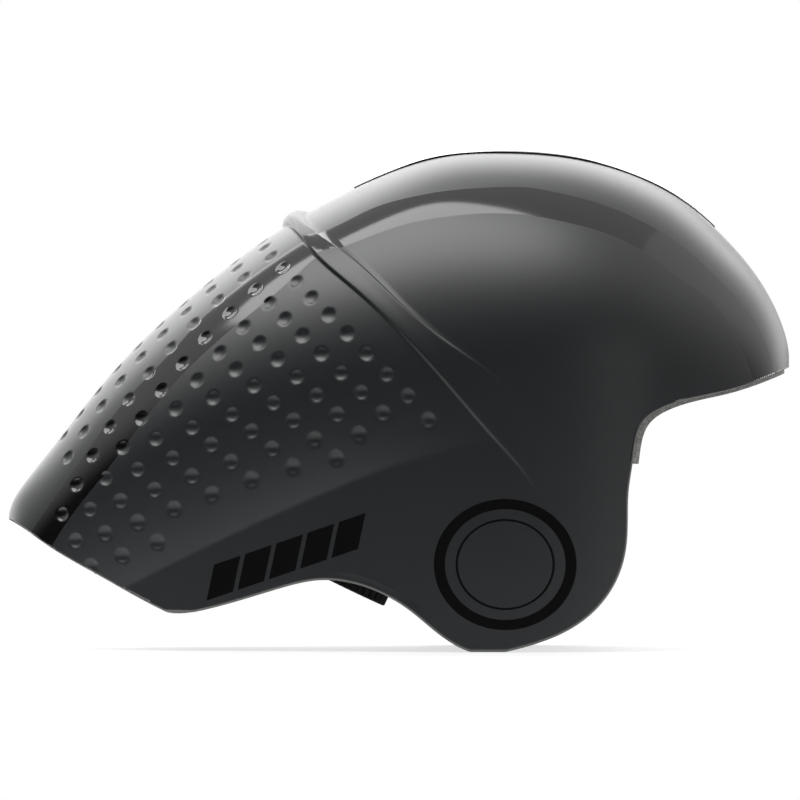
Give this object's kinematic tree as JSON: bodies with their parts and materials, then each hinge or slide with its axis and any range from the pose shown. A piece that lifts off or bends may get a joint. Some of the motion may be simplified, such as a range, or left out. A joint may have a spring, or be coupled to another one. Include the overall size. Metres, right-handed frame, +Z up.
{
  "type": "aero time trial helmet",
  "caption": "Long-tailed aero bicycle helmet with ear covers, foam liners, a nape dial fit system, pads, side straps and a chin buckle.",
  "frame": {"origin": "bottom centre of the helmet's box, level with the flat feet of the ear covers", "axes": "+X towards the brow, +Y to the wearer's left, +Z up; the tail points to -X"},
  "size_m": [0.399, 0.1992, 0.2558],
  "materials": {
    "skin_matt": "moulded, matt charcoal",
    "gloss_black": "moulded, polished black",
    "foam": "expanded foam, pale grey",
    "pad_cloth": "brushed knit over soft foam",
    "webbing": "woven tape",
    "nylon": "moulded, fine grain",
    "grip_rubber": "moulded rubber",
    "steel": "plated screws and pins"
  },
  "bodies": {
    "helmet": {"outer_shell": "skin_matt", "crest_strip": "gloss_black", "crown_liner": "foam", "tail_liner": "foam", "left_ear_liner": "foam", "right_ear_liner": "foam", "brow_pad": "pad_cloth", "top_pad": "pad_cloth", "left_crown_pad": "pad_cloth", "right_crown_pad": "pad_cloth", "left_ear_pad": "pad_cloth", "right_ear_pad": "pad_cloth", "chin_pad": "pad_cloth", "left_front_strap": "webbing", "right_front_strap": "webbing", "left_rear_strap": "webbing", "right_rear_strap": "webbing", "left_chin_strap": "webbing", "right_chin_strap": "webbing", "halo_band": "nylon", "halo_plugs": "nylon", "height_rail": "nylon", "strap_anchors": "nylon", "left_divider": "nylon", "right_divider": "nylon", "buckle_socket": "nylon", "strap_keeper": "grip_rubber", "lever_pins": "steel"},
    "cradle": {"nape_cradle": "nylon", "cradle_pad": "pad_cloth", "dial_housing": "nylon", "housing_cover": "nylon", "housing_screws": "steel"},
    "dial": {"fit_dial": "grip_rubber", "dial_pinion": "nylon", "dial_screw": "steel"},
    "left_arm": {"left_fit_arm": "nylon"},
    "right_arm": {"right_fit_arm": "nylon"},
    "left_lever": {"left_lock_lever": "nylon"},
    "right_lever": {"right_lock_lever": "nylon"},
    "plug": {"buckle_plug": "nylon"}
  },
  "joints": [
    {"name": "cradle_height", "type": "slide", "parent": "helmet", "child": "cradle", "axis": [0, 0, 1], "range_m": [0, 0.015]},
    {"name": "dial_turn", "type": "hinge", "parent": "cradle", "child": "dial", "pos_m": [-0.0211, 0, 0.0323], "axis": [0.4289, 0, 0.9033], "range_deg": [0, 114.59]},
    {"name": "left_arm_pull", "type": "slide", "parent": "cradle", "child": "left_arm", "axis": [0, -1, 0], "range_m": [0, 0.01]},
    {"name": "right_arm_pull", "type": "slide", "parent": "cradle", "child": "right_arm", "axis": [0, 1, 0], "range_m": [0, 0.01]},
    {"name": "left_lever_flip", "type": "hinge", "parent": "helmet", "child": "left_lever", "pos_m": [0.058, 0.0702, 0.037], "axis": [1, 0, 0], "range_deg": [0, 75]},
    {"name": "right_lever_flip", "type": "hinge", "parent": "helmet", "child": "right_lever", "pos_m": [0.058, -0.0702, 0.037], "axis": [-1, 0, 0], "range_deg": [0, 75]},
    {"name": "plug_release", "type": "slide", "parent": "helmet", "child": "plug", "axis": [0, 1, 0], "range_m": [0, 0.008]}
  ],
  "couplings": [
    {"joint": "left_arm_pull", "follows": "dial_turn", "m_per_rad": 0.005},
    {"joint": "right_arm_pull", "follows": "dial_turn", "m_per_rad": 0.005}
  ]
}
